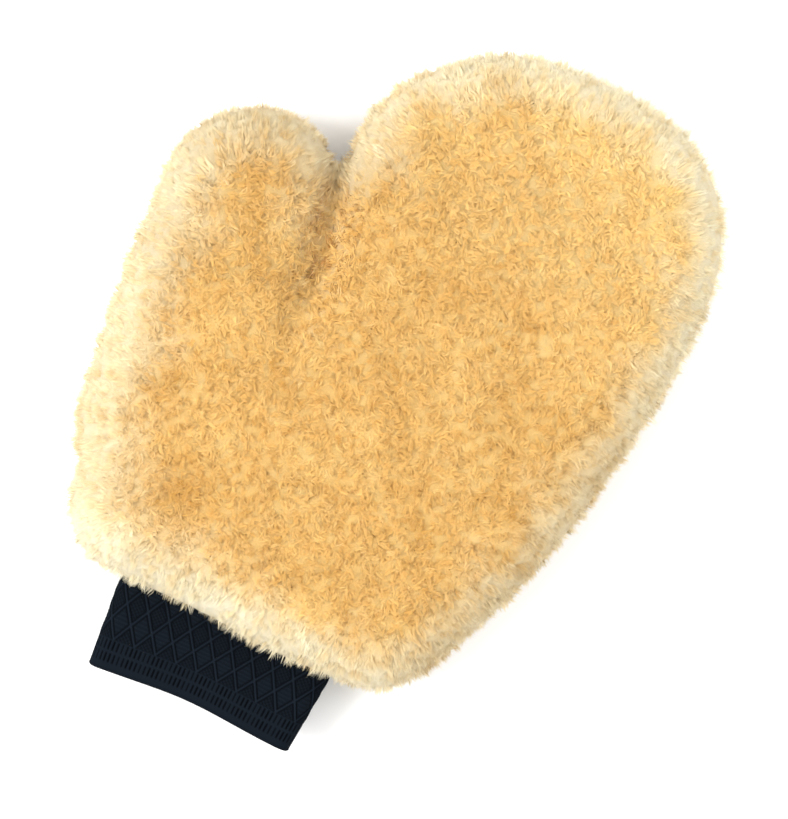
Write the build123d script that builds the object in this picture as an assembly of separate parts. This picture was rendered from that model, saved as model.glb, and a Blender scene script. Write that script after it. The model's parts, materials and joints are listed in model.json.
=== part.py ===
"""Sheepskin wash mitt with a thumb and a doubled knitted cuff, lying flat on its back panel. Millimetres.

+Z is up, +Y runs from the cuff to the fingertips and +X points away from the thumb. The origin is on the
floor under the middle of the mitt. Two panels, each a hide with pile standing on its outer face, are sewn
edge to edge round a flat pocket, and the cuff is sewn round the pocket's mouth.

Three folds cross the mitt: knuckles, thumb and cuff. Each one bends about a line in the front hide, so the
layers behind it open and the pile in front of it crumples. That pile is kept apart as a node of its own.
"""

import os
from math import acos, cos, degrees, radians, sin, tan

from build123d import *

# The layers, bottom to top.
BACK_PILE = 14.0
HIDE = 1.4
POCKET = 12.0
FRONT_PILE = 19.2
HIDE_STACK = HIDE + POCKET + HIDE
THICKNESS = BACK_PILE + HIDE_STACK + FRONT_PILE
MIDDLE = BACK_PILE + HIDE_STACK / 2
FOLD_Z = BACK_PILE + HIDE_STACK

# How far the layers stop inside the outer edge of the pile, and how round their edges are.
SIDE_PILE = 16.0
POCKET_EDGE = SIDE_PILE + HIDE
ALLOWANCE = 4.0
ALLOWANCE_EDGE = POCKET_EDGE + ALLOWANCE
THREAD = 0.4
THREAD_BITE = 2.4
FRONT_ROUND = 20.0
BACK_ROUND = 16.0
HIDE_ROUND = 6.8
POCKET_ROUND = 5.4
CURVE_POINTS = 28

# The outer edge of the pile: a smooth curve round the hand and its fingers, and two circles for the thumb.
HAND = (
    (-8, -119), (38, -117), (66, -103), (84, -76), (99, -34), (109, 14), (114.4, 66), (108, 112), (82, 142),
    (34, 154.05), (-14, 144), (-40, 117), (-48, 82), (-39, 30), (-62, -26), (-95, -70), (-83, -103),
    (-52, -117),
)
THUMB_TIP, THUMB_TIP_RADIUS = (-79, 49.5), 35.6
THUMB_ROOT, THUMB_ROOT_RADIUS = (-62, -48), 47.0

# The slit between thumb and fingers leans away from the hand.
THUMB_LEAN = 16.0
SLIT_FOOT = (-36.0, 24.0)
SLIT_LENGTH = 80.0
SLIT_WIDTH = 2.0

# The folds: how far they bend, and the slack on either side of the line.
FOLD_ANGLE = 60.0
FOLD_SPARE = 6.0
FOLD_GAP = 1.2
KNUCKLE_Y = 80.0
CUFF_FOLD_Y = -119.0 + SIDE_PILE

# The cuff is a flat oval tube, two plies thick and folded over at its free end.
CUFF_X = -11.0
CUFF_LENGTH = 154.1 + CUFF_FOLD_Y
CUFF_ROOT_WIDTH = 99.0
CUFF_END_WIDTH = 89.0
PLY = 1.2
PLY_GAP = 0.6
CUFF_WALL = 2 * PLY + PLY_GAP
FOLDED_EDGE = 3.0
NECK_LENGTH = 18.0
SIDE_SEAM_WIDTH = 3.0
SEAM_HEIGHT = 0.8
CLEARANCE = 0.4

FAR = 400.0


def hand_lobe(inset=0.0):
    """The flat shape of palm and fingers, inside a smooth curve that far within their outer edge."""
    outer = Spline(*HAND, periodic=True)
    moved = []
    for index in range(CURVE_POINTS):
        share = index / CURVE_POINTS
        inward = outer.tangent_at(share).rotate(Axis.Z, 90)
        moved.append(outer.position_at(share) + inward * inset)
    return Face(Wire([Spline(*moved, periodic=True)]))


def thumb_lobe(inset=0.0):
    """The flat shape of the thumb, two circles and the lines that touch both."""
    tip, root = Vector(*THUMB_TIP), Vector(*THUMB_ROOT)
    tip_radius, root_radius = THUMB_TIP_RADIUS - inset, THUMB_ROOT_RADIUS - inset
    along = (tip - root).normalized()
    turn = degrees(acos((root_radius - tip_radius) / (tip - root).length))
    left, right = along.rotate(Axis.Z, turn), along.rotate(Axis.Z, -turn)
    root_left, root_right = root + left * root_radius, root + right * root_radius
    tip_left, tip_right = tip + left * tip_radius, tip + right * tip_radius
    edges = [
        Line(root_right, tip_right),
        ThreePointArc(tip_right, tip + along * tip_radius, tip_left),
        Line(tip_left, root_left),
        ThreePointArc(root_left, root - along * root_radius, root_right),
    ]
    return Face(Wire(edges))


def slab(low, high, inset=0.0):
    """A flat layer of the whole mitt between two heights."""
    hand = extrude(Pos(0, 0, low) * hand_lobe(inset), amount=high - low, dir=(0, 0, 1))
    thumb = extrude(Pos(0, 0, low) * thumb_lobe(inset), amount=high - low, dir=(0, 0, 1))
    return hand + thumb


def pillow(low, high, low_round, high_round, inset=0.0):
    """A layer of the whole mitt whose edges are rounded below and above."""
    lobes = []
    for lobe in (hand_lobe(inset), thumb_lobe(inset)):
        solid = extrude(Pos(0, 0, low) * lobe, amount=high - low, dir=(0, 0, 1))
        solid = fillet(solid.edges().group_by(Axis.Z)[-1], high_round)
        lobes.append(fillet(solid.edges().group_by(Axis.Z)[0], low_round))
    return lobes[0] + lobes[1]


def half_space(point, normal):
    """Everything on the side of a point that the normal shows."""
    block = Box(2 * FAR, 2 * FAR, FAR, align=(Align.CENTER, Align.CENTER, Align.MIN))
    return Plane(origin=point, z_dir=normal) * block


def tube_core(start, end, depth):
    """The space that far under the cuff's outer face, between two distances from its fold."""

    def section(distance):
        share = distance / CUFF_LENGTH
        width = CUFF_ROOT_WIDTH + (CUFF_END_WIDTH - CUFF_ROOT_WIDTH) * share
        plane = Plane(origin=(CUFF_X, CUFF_FOLD_Y - distance, MIDDLE), x_dir=(1, 0, 0), z_dir=(0, -1, 0))
        return plane * SlotOverall(width - 2 * depth, HIDE_STACK - 2 * depth)

    return loft([section(start), section(end)], ruled=True)


def tube(start, end, outer_depth, inner_depth):
    """A length of the cuff's wall between two depths."""
    return tube_core(start, end, outer_depth) - tube_core(start, end, inner_depth)


def neck(depth, length):
    """The straight oval way through the hides, from the pocket's mouth inwards."""
    plane = Plane(origin=(CUFF_X, CUFF_FOLD_Y + FOLD_GAP / 2, MIDDLE), x_dir=(-1, 0, 0), z_dir=(0, 1, 0))
    return extrude(plane * SlotOverall(CUFF_ROOT_WIDTH - 2 * depth, HIDE_STACK - 2 * depth), amount=length)


def write(name, shape):
    """One STEP file for one node."""
    solids = [solid for solid in shape.solids() if solid.volume > 0.5]
    export_step(solids[0] if len(solids) == 1 else Compound(children=solids), f"parts/{name}.step")


def fold_wedge(point, along):
    """The pile in front of a fold that has no room when the fold closes."""
    half_angle = radians((FOLD_ANGLE + FOLD_SPARE) / 2)
    height = FRONT_PILE + 1
    reach = FOLD_GAP / 2 + height * tan(half_angle)
    section = Polyline((-FOLD_GAP / 2, 0), (FOLD_GAP / 2, 0), (reach, height), (-reach, height), close=True)
    plane = Plane(origin=(point[0], point[1], FOLD_Z), x_dir=along, z_dir=along.cross(Vector(0, 0, 1)))
    return extrude(plane * make_face(section), amount=FAR, both=True)


def panel_layers():
    """Pile, hide and edge stitching of the whole mitt before the folds cut them."""
    hide_block = pillow(BACK_PILE, FOLD_Z, HIDE_ROUND, HIDE_ROUND, SIDE_PILE) + neck(0, NECK_LENGTH)
    pocket = pillow(BACK_PILE + HIDE, FOLD_Z - HIDE, POCKET_ROUND, POCKET_ROUND, POCKET_EDGE)
    mouth = neck(HIDE, NECK_LENGTH + ALLOWANCE + THREAD)
    allowance = slab(MIDDLE - HIDE, MIDDLE + HIDE, POCKET_EDGE - HIDE / 2)
    allowance -= slab(MIDDLE - HIDE, MIDDLE + HIDE, ALLOWANCE_EDGE)
    thread_low = MIDDLE - HIDE - THREAD
    thread_high = MIDDLE + HIDE + THREAD
    stitching = slab(thread_low, thread_high, ALLOWANCE_EDGE - THREAD_BITE)
    stitching -= slab(thread_low, thread_high, ALLOWANCE_EDGE + THREAD)
    hide = (hide_block - pocket) + allowance - mouth
    pile = pillow(0, THICKNESS, BACK_ROUND, FRONT_ROUND) - hide_block
    return pile, hide, stitching - allowance - mouth


def write_mitt():
    """Cuts the layers at the folds and the slit, and writes palm, fingers, thumb and the crumpling pile."""
    pile, hide, stitching = panel_layers()
    lean = radians(THUMB_LEAN)
    thumb_along = Vector(-sin(lean), cos(lean), 0)
    thumb_left = Vector(-cos(lean), -sin(lean), 0)
    foot = Vector(*SLIT_FOOT, 0)
    slit_plane = Plane(origin=foot, x_dir=thumb_along * -1, z_dir=(0, 0, 1))
    slit = slit_plane * Box(SLIT_LENGTH, SLIT_WIDTH, FAR, align=(Align.MAX, Align.CENTER, Align.CENTER))
    slit += Pos(*SLIT_FOOT) * Cylinder(SLIT_WIDTH / 2, FAR)

    half_gap = FOLD_GAP / 2
    hand_side = half_space(foot, thumb_left * -1)
    thumb_side = half_space(foot, thumb_left)
    knuckles = Vector(0, KNUCKLE_Y, 0)
    above_hem = half_space((0, CUFF_FOLD_Y + half_gap, 0), (0, 1, 0))
    finger_zone = half_space(knuckles + Vector(0, half_gap, 0), (0, 1, 0)) & hand_side
    finger_cut = half_space(knuckles - Vector(0, half_gap, 0), (0, 1, 0)) & hand_side
    thumb_zone = half_space(foot + thumb_along * half_gap, thumb_along) & thumb_side
    thumb_cut = half_space(foot - thumb_along * half_gap, thumb_along) & thumb_side
    knuckle_wedge = fold_wedge((0, KNUCKLE_Y), Vector(0, 1, 0)) & hand_side
    thumb_wedge = fold_wedge(SLIT_FOOT, thumb_along) & thumb_side

    cuff_width = CUFF_ROOT_WIDTH + 2 * CLEARANCE
    over_cuff = Pos(CUFF_X, CUFF_FOLD_Y + half_gap, MIDDLE) * Box(
        cuff_width, FAR, FAR, align=(Align.CENTER, Align.MAX, Align.MIN)
    )
    cuff_room = tube_core(-half_gap, CUFF_LENGTH, -CLEARANCE)
    front = half_space((0, 0, MIDDLE), (0, 0, 1))
    back = half_space((0, 0, MIDDLE), (0, 0, -1))

    pile = pile - slit - cuff_room
    hide = hide & above_hem
    stitching = stitching & above_hem
    front_pile = (pile & front) - over_cuff
    layers = {
        "front_pile": front_pile - knuckle_wedge - thumb_wedge,
        "back_pile": pile & back,
        "front_hide": hide & front,
        "back_hide": hide & back,
        "edge_stitching": stitching,
    }
    for name, layer in layers.items():
        write(f"palm_{name}", layer - finger_cut - thumb_cut)
        write(f"fingers_{name}", layer & finger_zone)
        write(f"thumb_{name}", layer & thumb_zone)
    write("knuckle_fold_pile", front_pile & knuckle_wedge)
    write("thumb_fold_pile", front_pile & thumb_wedge)
    write("hem_fringe", pile & front & over_cuff)
    write("cuff_join_stitching", neck(HIDE, FOLDED_EDGE) - neck(HIDE + SEAM_HEIGHT, FOLDED_EDGE))


def write_cuff():
    """Outer ply, inner ply, the folded edge that joins them and the thread down the side seam."""
    start = FOLD_GAP / 2
    edge_start = CUFF_LENGTH - FOLDED_EDGE
    write("cuff_outer_ply", tube(start, edge_start, 0, PLY))
    write("cuff_inner_ply", tube(start, edge_start, PLY + PLY_GAP, CUFF_WALL))
    write("cuff_folded_edge", tube(edge_start, CUFF_LENGTH, 0, CUFF_WALL))
    right_side = Box(FAR, FAR, SIDE_SEAM_WIDTH, align=(Align.MIN, Align.CENTER, Align.CENTER))
    seam = tube(start, edge_start, CUFF_WALL, CUFF_WALL + SEAM_HEIGHT)
    write("cuff_side_seam", seam & (Pos(CUFF_X, 0, MIDDLE) * right_side))


os.makedirs("parts", exist_ok=True)
write_mitt()
write_cuff()
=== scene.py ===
import json
from math import cos, pi, radians, sin, tau

import bmesh
import bpy
import numpy as np
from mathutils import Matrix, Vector
from mathutils.bvhtree import BVHTree
from mathutils.kdtree import KDTree


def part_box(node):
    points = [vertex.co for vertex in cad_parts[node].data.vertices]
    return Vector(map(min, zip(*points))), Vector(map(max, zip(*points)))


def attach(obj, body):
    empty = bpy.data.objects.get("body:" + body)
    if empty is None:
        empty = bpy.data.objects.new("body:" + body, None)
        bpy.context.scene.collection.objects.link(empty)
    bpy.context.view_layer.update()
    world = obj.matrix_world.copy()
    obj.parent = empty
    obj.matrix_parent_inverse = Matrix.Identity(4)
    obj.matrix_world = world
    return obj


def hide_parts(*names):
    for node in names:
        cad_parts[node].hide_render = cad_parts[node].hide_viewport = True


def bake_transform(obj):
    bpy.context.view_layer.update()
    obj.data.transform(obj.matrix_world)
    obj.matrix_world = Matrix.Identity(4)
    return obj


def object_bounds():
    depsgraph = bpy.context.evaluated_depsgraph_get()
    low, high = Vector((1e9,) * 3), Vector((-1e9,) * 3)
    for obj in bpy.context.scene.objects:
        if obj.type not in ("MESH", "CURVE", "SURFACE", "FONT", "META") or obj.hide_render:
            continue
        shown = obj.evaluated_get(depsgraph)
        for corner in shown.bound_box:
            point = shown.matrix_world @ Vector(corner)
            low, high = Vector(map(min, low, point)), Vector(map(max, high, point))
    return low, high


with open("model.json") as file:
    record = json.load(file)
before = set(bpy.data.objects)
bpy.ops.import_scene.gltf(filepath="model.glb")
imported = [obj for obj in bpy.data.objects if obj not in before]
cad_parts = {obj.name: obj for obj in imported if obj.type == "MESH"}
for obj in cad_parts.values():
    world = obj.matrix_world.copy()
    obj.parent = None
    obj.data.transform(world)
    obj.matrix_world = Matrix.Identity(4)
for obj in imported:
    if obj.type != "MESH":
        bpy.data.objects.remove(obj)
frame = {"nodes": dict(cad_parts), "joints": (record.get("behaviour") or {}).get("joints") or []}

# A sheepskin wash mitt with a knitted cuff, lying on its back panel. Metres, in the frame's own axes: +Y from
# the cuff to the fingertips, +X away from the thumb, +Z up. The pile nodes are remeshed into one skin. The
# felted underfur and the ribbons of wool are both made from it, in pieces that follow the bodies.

MM = 0.001
CAD_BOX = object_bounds()
JOINTS = {joint["name"]: joint for joint in frame["joints"]}
SEED = 11

PILE_NODES = sorted(name for name in frame["nodes"] if name.endswith("_pile")) + ["hem_fringe"]

KNUCKLE_Y = JOINTS["finger_fold"]["pos_m"][1]
HEM_FOLD_Y = JOINTS["cuff_fold"]["pos_m"][1]
THUMB_FOOT = np.array(JOINTS["thumb_fold"]["pos_m"])
THUMB_AXIS = np.array(JOINTS["thumb_fold"]["axis"])
THUMB_ALONG = np.cross((0, 0, 1), THUMB_AXIS)
FOLD_HEIGHT = THUMB_FOOT[2]
LOW, HIGH = (np.array(corner) for corner in CAD_BOX)
CUFF_LOW, CUFF_HIGH = (np.array(corner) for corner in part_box("cuff_outer_ply"))
CUFF_X = (CUFF_LOW[0] + CUFF_HIGH[0]) / 2

# The skin, and the felted underfur a little way inside it.
SKIN_VOXEL = 2.2 * MM
UNDERFUR_DEPTH = 2.2 * MM
# How far from the ribbons' painted-shade roots towards their tips the felt's colour sits.
FELT_HEIGHT = 0.85

# The wool faces up, sideways or down by how steep its skin is. Each way has an area of skin for one clump of
# ribbons, and a number of ribbons in it.
FRONT, SIDE, BACK = range(3)
STEEP = 0.35
CLUMP_AREA = (3.2 * MM**2, 5.0 * MM**2, 13.0 * MM**2)
STRANDS_PER_CLUMP = (14, 11, 9)
LOCK_SHARE = 0.11

# One ribbon: its size, how far it leans and sweeps, and how much of its own facing its shading keeps.
STEPS = 3
MOST_TRIANGLES = 180_000
STRAND_LENGTH = 7.5
RIM_EXTRA_LENGTH = 6.5
BACK_LENGTH_SHARE = 0.75
HALF_WIDTH = 0.15 * MM
SIDE_EXTRA_WIDTH = 0.5
SWEEP = 4.2 * MM
SIDE_DROOP = 4.2
OWN_NORMAL = 0.2

# The rim of each panel, painted pale with light through the sparse tips, and the part of it where ribbons
# stand outward.
RIM_WIDTH = 30 * MM
PALE_WIDTH = 30 * MM

# How far the zones that span each fold reach on either side of it.
FINGER_BLEND = 18 * MM
THUMB_BLEND_BELOW = 4 * MM
THUMB_BLEND_ABOVE = 26 * MM

# The shallow hollow at the heel of the thumb, whose wool is also darkened with painted shade.
HOLLOW_PLACE = np.array([LOW[0] * 0.41, HEM_FOLD_Y + 24 * MM, HIGH[2]])
HOLLOW_REACH = 17 * MM
HOLLOW_DEPTH = 3 * MM

# The two walls of wool in the slit between thumb and fingers.
SLIT_HALF = 0.8 * MM
SLIT_MARGIN = 1.7 * MM
SLIT_PITCH = 2.0 * MM
SLIT_LEVELS = 14


# ------------------------------------------------------------ small helpers


def smoothstep(low, high, value):
    """0 below low, 1 above high, and smooth between."""
    share = np.clip((value - low) / (high - low), 0, 1)
    return share * share * (3 - 2 * share)


def unit(vectors):
    """Every row made one unit long."""
    return vectors / np.maximum(np.linalg.norm(vectors, axis=-1, keepdims=True), 1e-12)


def add_mesh(name, verts, faces, material, smooth=True):
    """A new mesh object in the scene."""
    mesh = bpy.data.meshes.new(name)
    mesh.from_pydata(verts, [], faces)
    mesh.materials.append(material)
    mesh.polygons.foreach_set("use_smooth", [smooth] * len(mesh.polygons))
    mesh.update()
    piece = bpy.data.objects.new(name, mesh)
    bpy.context.scene.collection.objects.link(piece)
    return piece


def wave_noise(points, scale, layer):
    """Smooth noise, mostly from -1 to 1, that varies over about that many metres. It is a sum of plane waves,
    and each layer has its own."""
    random = np.random.default_rng(SEED + layer)
    total = np.zeros(len(points))
    for _ in range(12):
        direction = random.normal(size=points.shape[1])
        direction *= random.uniform(0.6, 1.4) * tau / (scale * np.linalg.norm(direction))
        total += np.sin(points @ direction + random.uniform(0, tau))
    return total / 5


# ------------------------------------------------------------ materials


def node(tree, kind, **values):
    """A shader node with its properties and its unlinked inputs set."""
    made = tree.nodes.new(kind)
    for key, value in values.items():
        if key in made.inputs:
            made.inputs[key].default_value = value
        else:
            setattr(made, key, value)
    return made


def new_material(name):
    """An empty node material and its Principled node, wired to the output."""
    material = bpy.data.materials.new(name)
    material.use_nodes = True
    tree = material.node_tree
    return material, tree, tree.nodes["Principled BSDF"]


def mix_colours(tree, factor, first, second, blend="MIX"):
    """The colour socket of a mix node. A factor or colour is a socket or a value."""
    mixed = node(tree, "ShaderNodeMix", data_type="RGBA", blend_type=blend)
    sockets = (mixed.inputs[0], mixed.inputs[6], mixed.inputs[7])
    for socket, value in zip(sockets, (factor, first, second)):
        if isinstance(value, bpy.types.NodeSocket):
            tree.links.new(value, socket)
        else:
            socket.default_value = value
    return mixed.outputs[2]


def wool_material(name, felted):
    """Honey wool with patches of deeper gold. Its cream at the rim is painted light, and its darker roots are
    painted shade. Felted wool is the close mass under the ribbons: it has small curls in relief, and no light
    shines through it."""
    material, tree, shader = new_material(name)
    wool = node(tree, "ShaderNodeAttribute", attribute_name="wool")
    split = node(tree, "ShaderNodeSeparateColor")
    tree.links.new(wool.outputs["Color"], split.inputs[0])
    pale, height, shade = split.outputs[0], split.outputs[1], split.outputs[2]

    patches = node(tree, "ShaderNodeTexNoise", Scale=45.0, Detail=4.0, Roughness=0.55)
    spots = node(tree, "ShaderNodeTexCoord")
    tree.links.new(spots.outputs["Object"], patches.inputs["Vector"])
    gold = mix_colours(tree, patches.outputs["Fac"], (0.98, 0.75, 0.315, 1), (0.94, 0.63, 0.21, 1))
    # Painted shade: the roots are darker and deeper gold, as the pile shades them.
    gold_root_painted_shade = (0.88, 0.55, 0.16, 1)
    # Painted light: cream, mixed in towards the rim by the pale channel.
    cream = (1.0, 0.93, 0.67, 1)
    cream_root_painted_shade = (0.98, 0.83, 0.50, 1)
    tip = mix_colours(tree, pale, gold, cream)
    root = mix_colours(tree, pale, gold_root_painted_shade, cream_root_painted_shade)
    along = mix_colours(tree, height, root, tip)
    # The shade channel: tone that varies over the panel and from lock to lock, with painted shade in the
    # heel's hollow and on the felt's sides.
    shaded = mix_colours(tree, shade, (0.73, 0.59, 0.39, 1), (1.06, 1.10, 1.20, 1))
    colour = mix_colours(tree, 1.0, along, shaded, "MULTIPLY")
    tree.links.new(colour, shader.inputs["Base Color"])
    shader.inputs["Roughness"].default_value = 0.85
    shader.inputs["Specular IOR Level"].default_value = 0.15
    shader.inputs["Sheen Weight"].default_value = 0.25
    shader.inputs["Sheen Roughness"].default_value = 0.5

    if felted:
        curls = node(tree, "ShaderNodeTexNoise", Scale=620.0, Detail=3.0, Distortion=1.5)
        bump = node(tree, "ShaderNodeBump", Strength=0.8, Distance=0.0012)
        tree.links.new(curls.outputs["Fac"], bump.inputs["Height"])
        tree.links.new(bump.outputs[0], shader.inputs["Normal"])

    glow = node(tree, "ShaderNodeBsdfTranslucent")
    tree.links.new(colour, glow.inputs["Color"])
    both = node(tree, "ShaderNodeMixShader")
    both.inputs[0].default_value = 0.0 if felted else 0.22
    tree.links.new(shader.outputs[0], both.inputs[1])
    tree.links.new(glow.outputs[0], both.inputs[2])
    tree.links.new(both.outputs[0], tree.nodes["Material Output"].inputs["Surface"])
    return material


def hide_material():
    """Pale suede: fine grain, and a slow change of tone."""
    material, tree, shader = new_material("hide")
    grain = node(tree, "ShaderNodeTexNoise", Scale=900.0, Detail=5.0)
    tone = node(tree, "ShaderNodeTexNoise", Scale=30.0, Detail=3.0)
    tinted = mix_colours(tree, tone.outputs["Fac"], (0.60, 0.44, 0.27, 1), (0.74, 0.58, 0.39, 1))
    colour = mix_colours(tree, 0.25, tinted, grain.outputs["Color"], "OVERLAY")
    tree.links.new(colour, shader.inputs["Base Color"])
    bump = node(tree, "ShaderNodeBump", Strength=0.35, Distance=0.0004)
    tree.links.new(grain.outputs["Fac"], bump.inputs["Height"])
    tree.links.new(bump.outputs[0], shader.inputs["Normal"])
    shader.inputs["Roughness"].default_value = 0.9
    return material


def thread_material():
    """Twisted thread."""
    material, tree, shader = new_material("thread")
    twist = node(tree, "ShaderNodeTexWave", Scale=700.0, Distortion=1.5, bands_direction="DIAGONAL")
    colour = mix_colours(tree, twist.outputs["Fac"], (0.42, 0.29, 0.15, 1), (0.66, 0.50, 0.30, 1))
    tree.links.new(colour, shader.inputs["Base Color"])
    shader.inputs["Roughness"].default_value = 0.7
    return material


def knit_material():
    """Near-black navy yarn: a fibrous surface whose hollows are painted darker than its ribs, as painted
    shade.
    """
    material, tree, shader = new_material("cuff_knit")
    relief = node(tree, "ShaderNodeAttribute", attribute_name="relief")
    fuzz = node(tree, "ShaderNodeTexNoise", Scale=1600.0, Detail=4.0)
    # Painted shade: where the relief is low, the yarn is darker.
    yarn = mix_colours(tree, relief.outputs["Fac"], (0.0012, 0.0018, 0.0027, 1), (0.0078, 0.0112, 0.0165, 1))
    fibres = mix_colours(tree, fuzz.outputs["Fac"], (0.75, 0.75, 0.75, 1), (1.3, 1.3, 1.3, 1))
    tree.links.new(mix_colours(tree, 1.0, yarn, fibres, "MULTIPLY"), shader.inputs["Base Color"])
    bump = node(tree, "ShaderNodeBump", Strength=0.5, Distance=0.0003)
    tree.links.new(fuzz.outputs["Fac"], bump.inputs["Height"])
    tree.links.new(bump.outputs[0], shader.inputs["Normal"])
    shader.inputs["Roughness"].default_value = 0.9
    shader.inputs["Specular IOR Level"].default_value = 0.02
    return material


WOOL, FELT = wool_material("wool", False), wool_material("wool_felt", True)
HIDE, THREAD, KNIT = hide_material(), thread_material(), knit_material()


# ------------------------------------------------------------ the wool's skin


def remeshed_skin():
    """One closed skin round all the pile nodes, as a triangle mesh: vertices, normals and triangles."""
    joined = bmesh.new()
    for name in PILE_NODES:
        joined.from_mesh(frame["nodes"][name].data)
    mesh = bpy.data.meshes.new("skin")
    joined.to_mesh(mesh)
    joined.free()
    skin = bpy.data.objects.new("skin", mesh)
    bpy.context.scene.collection.objects.link(skin)
    remesh = skin.modifiers.new("remesh", "REMESH")
    remesh.mode = "VOXEL"
    remesh.voxel_size = SKIN_VOXEL
    relax = skin.modifiers.new("relax", "SMOOTH")
    relax.iterations = 4
    made = bpy.data.meshes.new_from_object(skin.evaluated_get(bpy.context.evaluated_depsgraph_get()))
    bpy.data.objects.remove(skin)
    made.calc_loop_triangles()
    verts = np.empty(len(made.vertices) * 3)
    normals = np.empty(len(made.vertices) * 3)
    triangles = np.empty(len(made.loop_triangles) * 3, int)
    made.vertices.foreach_get("co", verts)
    made.vertex_normals.foreach_get("vector", normals)
    made.loop_triangles.foreach_get("vertices", triangles)
    return verts.reshape(-1, 3), normals.reshape(-1, 3), triangles.reshape(-1, 3)


def facing_open_air(verts, normals, tree):
    """True for each vertex that sees open air above it, below it or straight out."""
    seen = np.zeros(len(verts), bool)
    for index, (vert, normal) in enumerate(zip(verts, normals)):
        start = Vector(vert + normal * SKIN_VOXEL / 2)
        for ray in (Vector((0, 0, 1)), Vector((0, 0, -1)), Vector(normal)):
            if tree.ray_cast(start, ray)[0] is None:
                seen[index] = True
                break
    return seen


class Outline:
    """How far each place on the plan is inside the outer edge of the wool, and which way leads out."""

    PITCH = 1.5 * MM

    def __init__(self, tree):
        margin = 6 * self.PITCH
        self.xs = np.arange(LOW[0] - margin, HIGH[0] + margin, self.PITCH)
        self.ys = np.arange(LOW[1] - margin, HIGH[1] + margin, self.PITCH)
        down = Vector((0, 0, -1))
        inside = np.zeros((len(self.xs), len(self.ys)), bool)
        for i, x in enumerate(self.xs):
            for j, y in enumerate(self.ys):
                inside[i, j] = tree.ray_cast(Vector((x, y, 1)), down)[0] is not None
        beyond = np.argwhere(~inside & self.near(inside))
        edge = KDTree(len(beyond))
        for index, (i, j) in enumerate(beyond):
            edge.insert((self.xs[i], self.ys[j], 0), index)
        edge.balance()
        depth = np.zeros(inside.shape)
        for i, j in np.argwhere(inside):
            depth[i, j] = edge.find((self.xs[i], self.ys[j], 0))[2]
        self.depth = depth
        soft = depth
        for _ in range(3):
            soft = sum(np.roll(soft, step, axis) for axis in (0, 1) for step in (1, -1)) / 4
        self.gradient = np.stack(np.gradient(soft, self.PITCH), -1)

    @staticmethod
    def near(inside):
        """Cells beside one that is inside."""
        return np.any([np.roll(inside, step, axis) for axis in (0, 1) for step in (1, -1)], axis=0)

    def look_up(self, grid, points):
        """The grid's values at points, linear between cells."""
        u = np.clip((points[:, 0] - self.xs[0]) / self.PITCH, 0, len(self.xs) - 1.001)
        v = np.clip((points[:, 1] - self.ys[0]) / self.PITCH, 0, len(self.ys) - 1.001)
        i, j = u.astype(int), v.astype(int)
        a, b = u - i, v - j
        if grid.ndim == 3:
            a, b = a[:, None], b[:, None]
        top = grid[i, j] * (1 - a) + grid[i + 1, j] * a
        bottom = grid[i, j + 1] * (1 - a) + grid[i + 1, j + 1] * a
        return top * (1 - b) + bottom * b

    def inset(self, points):
        """How far inside the outer edge each point is."""
        return self.look_up(self.depth, points)

    def outward(self, points):
        """The level direction to the nearest outer edge, weak where two edges are equally near."""
        flat = -self.look_up(self.gradient, points)
        return np.column_stack([flat, np.zeros(len(flat))])


def slit_walls(tree):
    """The thumb's and the hand's face of the slit, which the skin bridges: vertices, normals, triangles."""
    verts, normals, triangles = [], [], []
    for side in (1, -1):
        facing = side * THUMB_AXIS
        columns = []
        for past in np.arange(0, HIGH[1] - THUMB_FOOT[1], SLIT_PITCH):
            place = THUMB_FOOT + THUMB_ALONG * past - facing * SLIT_HALF
            top = tree.ray_cast(Vector((place[0], place[1], 1)), Vector((0, 0, -1)))[0]
            bottom = tree.ray_cast(Vector((place[0], place[1], -1)), Vector((0, 0, 1)))[0]
            if top is None or top.z - bottom.z < 3 * SLIT_MARGIN:
                break
            heights = np.linspace(bottom.z + SLIT_MARGIN, top.z - SLIT_MARGIN, SLIT_LEVELS)
            columns.append([(place[0], place[1], height) for height in heights])
        first = sum(len(block) for block in verts)
        verts.append(np.array(columns).reshape(-1, 3))
        normals.append(np.tile(facing, (len(verts[-1]), 1)))
        i, j = np.meshgrid(np.arange(len(columns) - 1), np.arange(SLIT_LEVELS - 1), indexing="ij")
        corner = first + i * SLIT_LEVELS + j
        next_column = corner + SLIT_LEVELS
        halves = [(corner, next_column, next_column + 1), (corner, next_column + 1, corner + 1)]
        for half in halves:
            triangles.append(np.stack(half[::side], -1).reshape(-1, 3))
    return np.concatenate(verts), np.concatenate(normals), np.concatenate(triangles)


def fold_side(points):
    """How far each point is past the thumb's fold, and how far left of the slit."""
    offset = points - THUMB_FOOT
    return offset @ THUMB_ALONG, -(offset @ THUMB_AXIS)


ZONES = ("palm", "knuckles", "fingers", "thumb_base", "thumb", "fringe")


def zone_of(points):
    """The zone that each point belongs to, as an index into ZONES."""
    past, left = fold_side(points)
    zone = np.zeros(len(points), int)
    hand = left <= 0
    zone[hand & (points[:, 1] > KNUCKLE_Y - FINGER_BLEND)] = ZONES.index("knuckles")
    zone[hand & (points[:, 1] > KNUCKLE_Y + FINGER_BLEND)] = ZONES.index("fingers")
    zone[~hand & (past > -THUMB_BLEND_BELOW)] = ZONES.index("thumb_base")
    zone[~hand & (past > THUMB_BLEND_ABOVE)] = ZONES.index("thumb")
    over_cuff = np.abs(points[:, 0] - CUFF_X) < (CUFF_HIGH[0] - CUFF_LOW[0]) / 2
    over_cuff &= (points[:, 1] < HEM_FOLD_Y) & (points[:, 2] > FOLD_HEIGHT - 6 * MM)
    zone[over_cuff] = ZONES.index("fringe")
    return zone


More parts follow.
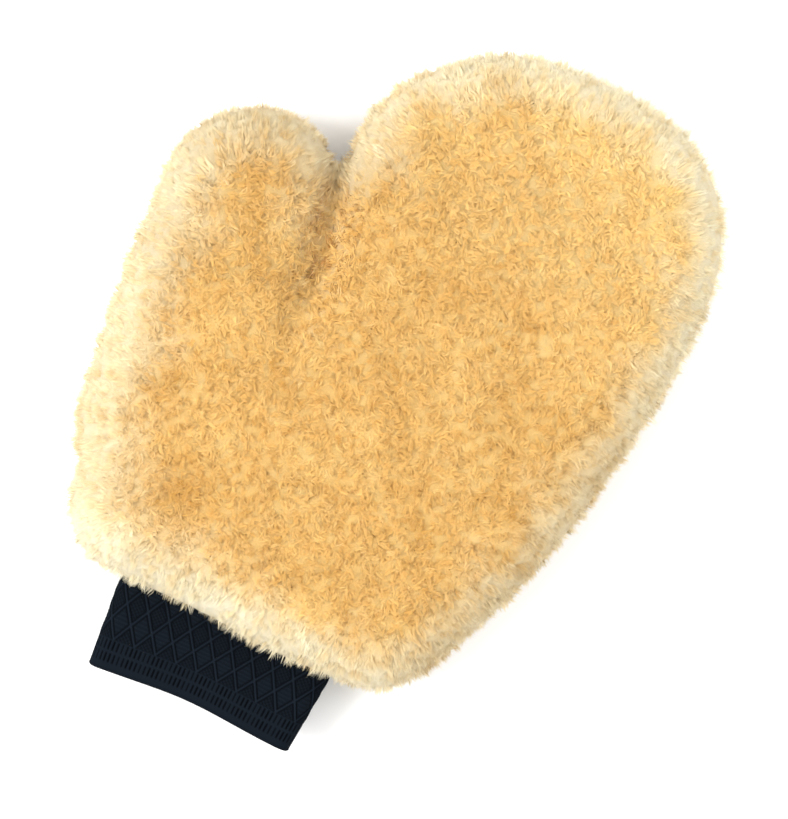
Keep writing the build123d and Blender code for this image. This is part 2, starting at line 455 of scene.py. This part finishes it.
STANDS_FOR = {
    "palm": ("palm_front_pile", "palm_back_pile"),
    "knuckles": ("knuckle_fold_pile",),
    "fingers": ("fingers_front_pile", "fingers_back_pile"),
    "thumb_base": ("thumb_fold_pile",),
    "thumb": ("thumb_front_pile", "thumb_back_pile"),
    "fringe": ("hem_fringe",),
}
RIDES_ON = {"palm": "hand", "fingers": "fingers", "thumb": "thumb"}


def follow_bodies(piece, zone):
    """Rides on the zone's body, or, for a zone that lies across two bodies, stays where it is."""
    if zone == "knuckles":
        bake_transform(piece)
    elif zone == "thumb_base":
        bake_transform(piece)
    elif zone == "fringe":
        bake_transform(piece)
    else:
        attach(piece, RIDES_ON[zone])
    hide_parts(*STANDS_FOR[zone])


def set_wool(mesh, pale, height, shade):
    """Stores what the wool's material reads at each vertex. A shade of -0.5 is the darkest, and 1 the
    lightest."""
    attribute = mesh.attributes.new("wool", "FLOAT_COLOR", "POINT")
    shade = np.clip((shade + 0.5) / 1.5, 0, 1)
    values = np.column_stack([pale, height, shade, np.ones(len(pale))]).astype(np.float32)
    attribute.data.foreach_set("color", values.ravel())


def paleness(points, outline):
    """0 for honey wool at the middle of a panel, 1 for cream at the rim, widest at the thumb side. The rim's
    cream is painted light, the light through the sparse tips there, strongest on the thumb side, which faces
    the key lamp.
    The wool beside the slit is pale too."""
    thumb_side = smoothstep(-20 * MM, 110 * MM, -(points[:, 0] * 0.9 + points[:, 1] * 0.43))
    width = PALE_WIDTH * (1 + 0.55 * thumb_side + 0.3 * wave_noise(points[:, :2], 30 * MM, 1))
    rim = 1 - outline.inset(points) / width
    patch = wave_noise(points[:, :2], 14 * MM, 7)
    past, left = fold_side(points)
    crease = smoothstep(25 * MM, 80 * MM, past) * (1 - smoothstep(3 * MM, 20 * MM, np.abs(left)))
    edge = smoothstep(-0.05, 1.0, rim) * (0.8 + 0.25 * thumb_side)
    return np.clip(np.maximum(edge, 0.6 * crease) + 0.06 * patch, 0, 1)


def slow_shade(points):
    """The wool's lightness where 0.5 is even: broad soft bands, deeper over the palm and thumb than at the
    fingertips, and darkest in the hollow at the heel of the thumb, where the darkening is painted shade."""
    broad = 0.12 * wave_noise(points[:, :2], 45 * MM, 8)
    fine = 0.06 * wave_noise(points, 12 * MM, 9)
    toward_tips = points[:, 1] + 0.5 * points[:, 0]
    above_hem = smoothstep(HEM_FOLD_Y - 12 * MM, HEM_FOLD_Y + 18 * MM, points[:, 1])
    deepened = (1 - smoothstep(45 * MM, 120 * MM, toward_tips)) * above_hem
    lighter_near_tips = smoothstep(115 * MM, 150 * MM, toward_tips)
    # The hollow's darkening is painted shade.
    return 0.5 + broad + fine - 0.40 * deepened + 0.25 * lighter_near_tips - 0.25 * hollow(points)


def hollow(points):
    """1 at the bottom of the shallow hollow in the palm's wool, falling to 0 round it. It sinks the skin
    there, and darkens the wool with painted shade.
    """
    offset = (points - HOLLOW_PLACE)[:, :2] / HOLLOW_REACH
    return np.exp(-(offset**2).sum(axis=1)) * (points[:, 2] > FOLD_HEIGHT)


def make_underfur(verts, normals, triangles, outline):
    """The felted mass under the ribbons' tips, one piece for each zone, even on the sides and darker there
    with painted shade.
    """
    beside = 1 - smoothstep(0.3, 0.8, np.abs(normals[:, 2]))
    depth = UNDERFUR_DEPTH * (1 + 0.35 * (1 - beside) * wave_noise(verts, 5 * MM, 2))
    sunk = verts - normals * depth[:, None]
    pale = paleness(verts, outline)
    zones = zone_of(verts[triangles].mean(axis=1))
    for index, zone in enumerate(ZONES):
        faces = triangles[zones == index]
        used, local = np.unique(faces, return_inverse=True)
        piece = add_mesh(f"underfur_{zone}", sunk[used], local.reshape(-1, 3), FELT)
        # Painted shade: the felt on the sides is darker, like the shaded ribbons beside it.
        shade = slow_shade(verts[used]) + 0.08 * wave_noise(verts[used], 4 * MM, 3) - 0.2 * beside[used]
        set_wool(piece.data, pale[used], np.full(len(used), FELT_HEIGHT), shade)
        follow_bodies(piece, zone)


# ------------------------------------------------------------ the wool's ribbons


def scatter(verts, normals, triangles, random):
    """Clump centres on the skin, with the skin's normal and the group each one is in."""
    corners = verts[triangles]
    cross = np.cross(corners[:, 1] - corners[:, 0], corners[:, 2] - corners[:, 0])
    areas = np.linalg.norm(cross, axis=1) / 2
    middle_normal = unit(normals[triangles].mean(axis=1))
    steepness = middle_normal[:, 2]
    group = np.select([steepness > STEEP, steepness < -STEEP], [FRONT, BACK], SIDE)
    density = (1 / np.array(CLUMP_AREA))[group]
    clumps = np.floor(areas * density + random.random(len(areas))).astype(int)
    chosen = np.repeat(np.arange(len(triangles)), clumps)
    first, second = random.random(len(chosen)), random.random(len(chosen))
    flip = first + second > 1
    first[flip], second[flip] = 1 - first[flip], 1 - second[flip]
    weights = np.column_stack([1 - first - second, first, second])[:, :, None]
    points = (corners[chosen] * weights).sum(axis=1)
    return points, unit((normals[triangles[chosen]] * weights).sum(axis=1)), group[chosen]


def nearest_lock(points, random):
    """For each clump, the centre of the larger lock it belongs to and that lock's number."""
    centres = points[random.random(len(points)) < LOCK_SHARE]
    tree = KDTree(len(centres))
    for index, centre in enumerate(centres):
        tree.insert(centre, index)
    tree.balance()
    number = np.array([tree.find(point)[1] for point in points])
    return centres[number], number


def grow(points, normals, group, outline, random):
    """Every ribbon: the clump that owns it, its centre line, its half width, and its paleness and shade."""
    clumps = len(points)
    rim = smoothstep(0.0, 0.85, 1 - outline.inset(points) / RIM_WIDTH)
    outward = outline.outward(points)
    lean = unit(normals + outward * (1.5 * rim)[:, None])
    lock_centre, lock = nearest_lock(points, random)
    lock_random = random.normal(size=(lock.max() + 1, 4))[lock]

    sweep_angle = pi * wave_noise(points, 9 * MM, 4) + 0.9 * random.normal(size=clumps)
    level = unit(np.cross(normals, (0.31, 0.92, 0.24)))
    across = np.cross(normals, level)
    sweep = level * np.cos(sweep_angle)[:, None] + across * np.sin(sweep_angle)[:, None]
    length = (STRAND_LENGTH + RIM_EXTRA_LENGTH * rim + 1.0 * random.normal(size=clumps)) * MM
    length = np.where(group == BACK, length * BACK_LENGTH_SHARE, length)
    tip = points + normals * (random.normal(-0.5, 0.5, size=clumps) * MM)[:, None]
    tip += (lock_centre - points) * (0.22 * rim)[:, None]
    ragged = 0.4 * lock_random[:, 0] + 0.8 * wave_noise(points, 9 * MM, 6)
    tip += lean * (ragged * rim * MM)[:, None]
    beside = group == SIDE
    sweep_reach = (1 - 0.8 * rim + 0.4 * beside) * SWEEP
    downhill = unit(normals * normals[:, 2:] - (0, 0, 1))
    droop = downhill * (beside * rim * (SIDE_DROOP + 1.6 * lock_random[:, 3]) * MM)[:, None]

    owner = np.repeat(np.arange(clumps), np.array(STRANDS_PER_CLUMP)[group])
    total = len(owner)
    spread = unit(random.normal(size=(total, 3)))
    reach = np.sqrt(random.random(total))
    root_radius = 1.7 * MM * reach
    tip_radius = 1.3 * MM * reach
    own_lean = unit(lean[owner] + 0.13 * random.normal(size=(total, 3)))
    own_length = length[owner] * (1 + 0.12 * random.normal(size=total))
    curl_a = unit(np.cross(own_lean, random.normal(size=(total, 3))))
    curl_b = np.cross(own_lean, curl_a)
    curl_size = (0.45 + 0.30 * random.random(total)) * MM * (1 - 0.5 * rim[owner])
    curl_phase = random.uniform(0, tau, total)
    curl_turns = random.uniform(0.8, 1.6, total)

    lines = np.empty((total, STEPS + 1, 3))
    for step in range(STEPS + 1):
        share = step / STEPS
        rest = 1 - share
        place = tip[owner] - own_lean * (own_length * rest**1.4)[:, None]
        place -= normals[owner] * (rim[owner] * 3.5 * MM * rest**2)[:, None]
        place += sweep[owner] * (sweep_reach[owner] * share**2)[:, None]
        place += spread * (root_radius * rest + tip_radius * share)[:, None]
        place += droop[owner] * share**2
        turn = curl_phase + tau * curl_turns * share
        wobble = curl_size * min(1, 2 * share)
        place += curl_a * (wobble * np.cos(turn))[:, None] + curl_b * (wobble * np.sin(turn))[:, None]
        lines[:, step] = place
    lines[:, :, 2] = np.maximum(lines[:, :, 2], 0.3 * MM)

    pale = paleness(points, outline) + 0.10 * lock_random[:, 1] * rim + 0.06 * random.normal(size=clumps)
    shade = slow_shade(points) + 0.13 * lock_random[:, 2] + 0.12 * random.normal(size=clumps)
    own_shade = shade[owner] + 0.08 * random.normal(size=total)
    width = HALF_WIDTH * (1 + 0.25 * random.normal(size=total)).clip(0.5, 1.6)
    width *= 1 + SIDE_EXTRA_WIDTH * beside[owner]
    return owner, lines, width, np.clip(pale[owner], 0, 1), own_shade


def ribbons(name, lines, normals, width, pale, shade, random):
    """One mesh of flat tapered ribbons along those lines, lit mostly as the skin under them is."""
    total = len(lines)
    along = unit(lines[:, -1] - lines[:, 0])
    side = unit(np.cross(along, random.normal(size=(total, 3))))
    face = np.cross(side, along)
    turned = (face * normals).sum(axis=1) < 0
    side[turned] *= -1
    face[turned] *= -1
    shares = np.linspace(0, 1, STEPS + 1)
    tapers = np.sqrt(1 - 0.85 * shares**2)
    half = side[:, None, :] * (width[:, None] * tapers[None, :-1])[:, :, None]
    body = lines[:, :-1]
    verts = np.concatenate([body - half, body + half, lines[:, -1:]], axis=1)
    per = 2 * STEPS + 1
    base = (np.arange(total) * per)[:, None]
    quads = np.array([(s, s + STEPS, s + STEPS + 1, s + 1) for s in range(STEPS - 1)])
    quad_faces = (base[:, :, None] + quads[None]).reshape(-1, 4)
    cap = np.array([STEPS - 1, 2 * STEPS - 1, 2 * STEPS])
    cap_faces = base + cap[None]
    loops = np.concatenate([quad_faces.ravel(), cap_faces.ravel()])
    sizes = np.concatenate([np.full(len(quad_faces), 4), np.full(len(cap_faces), 3)])

    mesh = bpy.data.meshes.new(name)
    mesh.vertices.add(total * per)
    mesh.vertices.foreach_set("co", verts.ravel().astype(np.float32))
    mesh.loops.add(len(loops))
    mesh.loops.foreach_set("vertex_index", loops.astype(np.int32))
    mesh.polygons.add(len(sizes))
    mesh.polygons.foreach_set("loop_start", (np.cumsum(sizes) - sizes).astype(np.int32))
    mesh.polygons.foreach_set("use_smooth", np.ones(len(sizes), bool))
    mesh.update(calc_edges=True)
    mesh.materials.append(WOOL)
    lit = unit(normals * (1 - OWN_NORMAL) + face * OWN_NORMAL)
    mesh.normals_split_custom_set_from_vertices(np.repeat(lit, per, axis=0))
    # 0 at the root to 1 at the tip: the material paints shade towards the roots.
    heights = np.concatenate([shares[:-1], shares[:-1], shares[-1:]])
    set_wool(mesh, np.repeat(pale, per), np.tile(heights, total), np.repeat(shade, per))
    piece = bpy.data.objects.new(name, mesh)
    bpy.context.scene.collection.objects.link(piece)
    return piece


# Where the combed wool stands fuller or flatter than the solid pile: place, reach, push, in millimetres.
FULLNESS = (
    ((-78, -110), 26, (-4.5, -5.5)),
    ((56, -112), 24, (3.5, -5.5)),
    ((-10, -118), 40, (0, -1.5)),
    ((20, 156), 50, (0, -4.0)),
    ((-30, 136), 24, (1.5, -2.5)),
    ((-104, 74), 26, (2.5, -2.0)),
    ((-112, -50), 26, (2.0, 0)),
    ((-50, 84), 16, (0, 3.0)),
)


def shaped(verts):
    """The skin pushed out or in at each place in FULLNESS, by less the further away it is."""
    moved = verts.copy()
    for place, reach, push in FULLNESS:
        offset = (verts[:, :2] - np.array(place) * MM) / (reach * MM)
        share = np.exp(-(offset**2).sum(axis=1))
        moved[:, :2] += share[:, None] * np.array(push) * MM
    return moved


def make_wool():
    """The underfur and all the ribbons, cut into pieces by zone and by size."""
    random = np.random.default_rng(SEED)
    verts, normals, triangles = remeshed_skin()
    verts = shaped(verts)
    verts[:, 2] -= hollow(verts) * HOLLOW_DEPTH
    tree = BVHTree.FromPolygons(verts.tolist(), triangles.tolist())
    outer = facing_open_air(verts, normals, tree)
    outline = Outline(tree)
    in_mouth = verts[:, 1] < HEM_FOLD_Y + 6 * MM
    felted = triangles[(outer | in_mouth)[triangles].all(axis=1)]
    grown = triangles[outer[triangles].all(axis=1)]
    wall_verts, wall_normals, wall_triangles = slit_walls(tree)
    walls = wall_triangles + len(verts)
    verts = np.concatenate([verts, wall_verts])
    normals = np.concatenate([normals, wall_normals])
    make_underfur(verts, normals, np.concatenate([felted, walls]), outline)

    points, point_normals, group = scatter(verts, normals, np.concatenate([grown, walls]), random)
    zones = zone_of(points)
    owner, lines, width, pale, shade = grow(points, point_normals, group, outline, random)
    strand_zone = zones[owner]
    most = MOST_TRIANGLES // (2 * STEPS - 1)
    for index, zone in enumerate(ZONES):
        chosen = np.flatnonzero(strand_zone == index)
        chosen = chosen[np.argsort(points[owner[chosen], 1], kind="stable")]
        parts = max(1, -(-len(chosen) // most))
        for number, part in enumerate(np.array_split(chosen, parts), 1):
            lit = point_normals[owner[part]]
            name = f"wool_{zone}_{number}"
            piece = ribbons(name, lines[part], lit, width[part], pale[part], shade[part], random)
            follow_bodies(piece, zone)


# ------------------------------------------------------------ the cuff

CUFF_MIDDLE = (CUFF_LOW[2] + CUFF_HIGH[2]) / 2
CUFF_HALF_DEPTH = (CUFF_HIGH[2] - CUFF_LOW[2]) / 2
CUFF_ROOT_Y = HEM_FOLD_Y + 4 * MM
CUFF_END_Y = LOW[1]
CUFF_ROOT_HALF = (CUFF_HIGH[0] - CUFF_LOW[0]) / 2
EDGE_LOW, EDGE_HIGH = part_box("cuff_folded_edge")
CUFF_END_HALF = (EDGE_HIGH.x - EDGE_LOW.x) / 2
CUFF_COLUMNS = 540
OUTER_ROWS = 150
HEM_ROWS = 14
INNER_ROWS = 14
HEM_ROLL = 3.0 * MM
RIB_ROWS = 2
RIB_ROW = 5.0 * MM
RIBS_ROUND = 104
DIAMONDS_ROUND = 22
DIAMOND_HEIGHT = 15.0 * MM
STITCHES_PER_DIAMOND = 5
COURSE = 1.7 * MM
RELIEF = 0.6 * MM
PLAIN = 0.72
SMOOTH = 0.55
HALF_ROLL = 1.5 * MM


def cuff_section(around, down):
    """Points and outward directions of the cuff's smooth outer face. around is 0 to 1 right round from the
    thumb side over the top, and down is how far below the cuff's fold each point is, in metres."""
    share = np.clip(down / (HEM_FOLD_Y - CUFF_END_Y), -0.1, 1)
    half = CUFF_ROOT_HALF + (CUFF_END_HALF - CUFF_ROOT_HALF) * share
    deep = CUFF_HALF_DEPTH * (1 - 0.10 * share)
    flat = half - deep
    bend = pi * deep
    run = around * (4 * flat + 2 * bend)
    right = pi / 2 - (run - 2 * flat) / deep
    left = -pi / 2 - (run - 4 * flat - bend) / deep
    parts = [run < 2 * flat, run < 2 * flat + bend, run < 4 * flat + bend]
    nx = np.select(parts, [0, np.cos(right), 0], np.cos(left))
    nz = np.select(parts, [1, np.sin(right), -1], np.sin(left))
    x = np.select(parts, [run - flat, flat + deep * nx, 3 * flat + bend - run], deep * nx - flat)
    z = deep * nz
    place = np.stack([CUFF_X + x, HEM_FOLD_Y - down, CUFF_MIDDLE + z], -1)
    return place, np.stack([nx, nx * 0, nz], -1)


def hem_wave(x):
    """How far the free end of the cuff strays from straight: longest at the thumb side, then a slow S."""
    share = (x - CUFF_X) / CUFF_END_HALF
    return (1.0 * np.cos(pi * (share + 1)) + 1.4 * np.clip(-share, 0, 1) ** 2 - 0.4) * MM


def knit_relief(around, up):
    """Height of the knit from 0 to 1: a rolled hem, two rows of ribs, then diamonds. around is the share of
    the way round, and up the distance above the hem."""
    ribbed = RIB_ROWS * RIB_ROW
    row = np.abs(((up - HEM_ROLL) / RIB_ROW) % 1 - 0.5) * 2
    slot = smoothstep(0.25, 0.75, -np.cos(tau * around * RIBS_ROUND))
    ribs = PLAIN - 0.68 * slot * (1 - smoothstep(0.62, 0.85, row))

    u, v = around * DIAMONDS_ROUND, (up - HEM_ROLL - ribbed) / DIAMOND_HEIGHT
    first, second = (u + v) % 1, (u - v) % 1
    from_line = np.minimum(np.minimum(first, 1 - first), np.minimum(second, 1 - second))
    ridge = 1 - smoothstep(0.03, 0.07, from_line)
    groove = smoothstep(0.03, 0.08, from_line) * (1 - smoothstep(0.10, 0.17, from_line))
    column = np.cos(tau * u * STITCHES_PER_DIAMOND)
    course = np.cos(tau * up / COURSE)
    dotted = (np.floor(u + v) + np.floor(u - v)) % 2 == 0
    inside = np.where(dotted, PLAIN - 0.30 + 0.30 * column * course, PLAIN - 0.12 + 0.12 * course)
    diamonds = inside * (1 - groove) * (1 - ridge) + 0.12 * groove + 0.95 * ridge
    return np.where(up < HEM_ROLL, PLAIN, np.where(up < HEM_ROLL + ribbed, ribs, diamonds))


def grid_faces(rows, columns):
    """Quads of a grid that closes on itself along its rows."""
    i, j = np.meshgrid(np.arange(rows - 1), np.arange(columns), indexing="ij")
    after = (j + 1) % columns
    here, above = i * columns, (i + 1) * columns
    return np.stack([here + j, here + after, above + after, above + j], -1)


def cuff_ring(down, sink, beyond=0, knitted=False):
    """One ring of the cuff, sunk below its outer face or moved beyond its end: its points, and the knit's
    height at each."""
    length = HEM_FOLD_Y - CUFF_END_Y
    around = np.arange(CUFF_COLUMNS) / CUFF_COLUMNS
    depth = np.full(CUFF_COLUMNS, down)
    place, normal = cuff_section(around, depth)
    wave = hem_wave(place[:, 0]) * smoothstep(0.2, 1.0, depth / length)
    sag = 0.9 * MM * wave_noise(place[:, :2], 45 * MM, 5) * smoothstep(0.1, 0.8, depth / length)
    height = knit_relief(around, length - depth) if knitted else np.full(CUFF_COLUMNS, SMOOTH)
    raised = height * RELIEF * knitted
    place = place + normal * (raised - sink)[:, None]
    place[:, 1] -= wave + beyond
    place[:, 2] += sag
    return place, height


def knit_sheet(name, rings):
    """A closed band of knit through those rings."""
    faces = grid_faces(len(rings), CUFF_COLUMNS).reshape(-1, 4)
    sheet = add_mesh(name, np.concatenate([place for place, height in rings]), faces, KNIT)
    set_relief(sheet.data, np.concatenate([height for place, height in rings]))
    return sheet


def make_cuff():
    """The outer ply with its knit in relief, the rolled hem, and the inner ply."""
    end = HEM_FOLD_Y - CUFF_END_Y - HEM_ROLL / 2
    root = HEM_FOLD_Y - CUFF_ROOT_Y
    outer = [cuff_ring(down, RELIEF, knitted=True) for down in np.linspace(root, end, OUTER_ROWS)]
    hem = [outer[-1]]
    for turn in np.linspace(0, pi, HEM_ROWS)[1:]:
        hem.append(cuff_ring(end, HALF_ROLL * (1 - cos(turn)), beyond=HALF_ROLL * sin(turn)))
    inner = [hem[-1]]
    for down in np.linspace(end, root, INNER_ROWS)[1:]:
        inner.append(cuff_ring(down, 2 * HALF_ROLL))

    outer = knit_sheet("cuff_knit_outer", outer)
    hem = knit_sheet("cuff_knit_hem", hem)
    inner = knit_sheet("cuff_knit_inner", inner)

    for piece, name in ((outer, "cuff_outer_ply"), (inner, "cuff_inner_ply")):
        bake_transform(piece)
        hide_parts(name)
    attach(hem, "cuff")
    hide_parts("cuff_folded_edge")


def set_relief(mesh, values):
    """Stores the knit's height at each vertex, which the knit's material also reads for its painted shade."""
    mesh.attributes.new("relief", "FLOAT", "POINT").data.foreach_set("value", values.astype(np.float32))


def dress_cad_nodes():
    """The hides and the stitching that show inside the mouth, and the cuff's side seam."""
    dressing = {"_hide": HIDE, "_stitching": THREAD, "_side_seam": KNIT}
    for name, piece in frame["nodes"].items():
        for ending, material in dressing.items():
            if name.endswith(ending):
                piece.data.materials.clear()
                piece.data.materials.append(material)


# ------------------------------------------------------------ camera, stage and light

VIEW_TURN = radians(25)
VIEW_CENTRE = (14.0 * MM, -8.7 * MM, 24 * MM)
VIEW_HEIGHT = 1.5
VIEW_SPAN = 335.8 * MM
SENSOR = 36.0


def make_camera():
    """Straight down, turned a little so that the mitt leans across the picture."""
    data = bpy.data.cameras.new("camera")
    data.sensor_width = SENSOR
    data.lens = SENSOR * VIEW_HEIGHT / VIEW_SPAN
    data.clip_start = 0.01
    data.clip_end = 20
    camera = bpy.data.objects.new("camera", data)
    camera.location = (VIEW_CENTRE[0], VIEW_CENTRE[1], VIEW_CENTRE[2] + VIEW_HEIGHT)
    camera.rotation_euler = (0, 0, VIEW_TURN)
    bpy.context.scene.collection.objects.link(camera)
    bpy.context.scene.camera = camera


def make_stage():
    """A pale floor."""
    material, _, shader = new_material("floor")
    shader.inputs["Base Color"].default_value = (0.93, 0.93, 0.93, 1)
    shader.inputs["Roughness"].default_value = 0.9
    side = 6
    corners = [(-side, -side, 0), (side, -side, 0), (side, side, 0), (-side, side, 0)]
    add_mesh("floor", corners, [(0, 1, 2, 3)], material, smooth=False)


def make_light(name, place, size, power):
    """A large square lamp aimed at the mitt."""
    data = bpy.data.lights.new(name, "AREA")
    data.size = size
    data.energy = power
    lamp = bpy.data.objects.new(name, data)
    lamp.location = place
    lamp.rotation_euler = (-Vector(place)).to_track_quat("-Z", "Y").to_euler()
    bpy.context.scene.collection.objects.link(lamp)


def make_world():
    """Even white light from all round."""
    world = bpy.data.worlds.new("world")
    world.use_nodes = True
    background = world.node_tree.nodes["Background"]
    background.inputs[0].default_value = (1, 1, 1, 1)
    background.inputs[1].default_value = 1.18
    bpy.context.scene.world = world


make_camera()
make_stage()
make_world()
make_light("key", (-1.1, -0.5, 1.3), 0.9, 30)
make_light("fill", (0.9, 0.9, 1.4), 1.2, 12)
bpy.context.scene.view_settings.view_transform = "Standard"

make_wool()
make_cuff()
dress_cad_nodes()
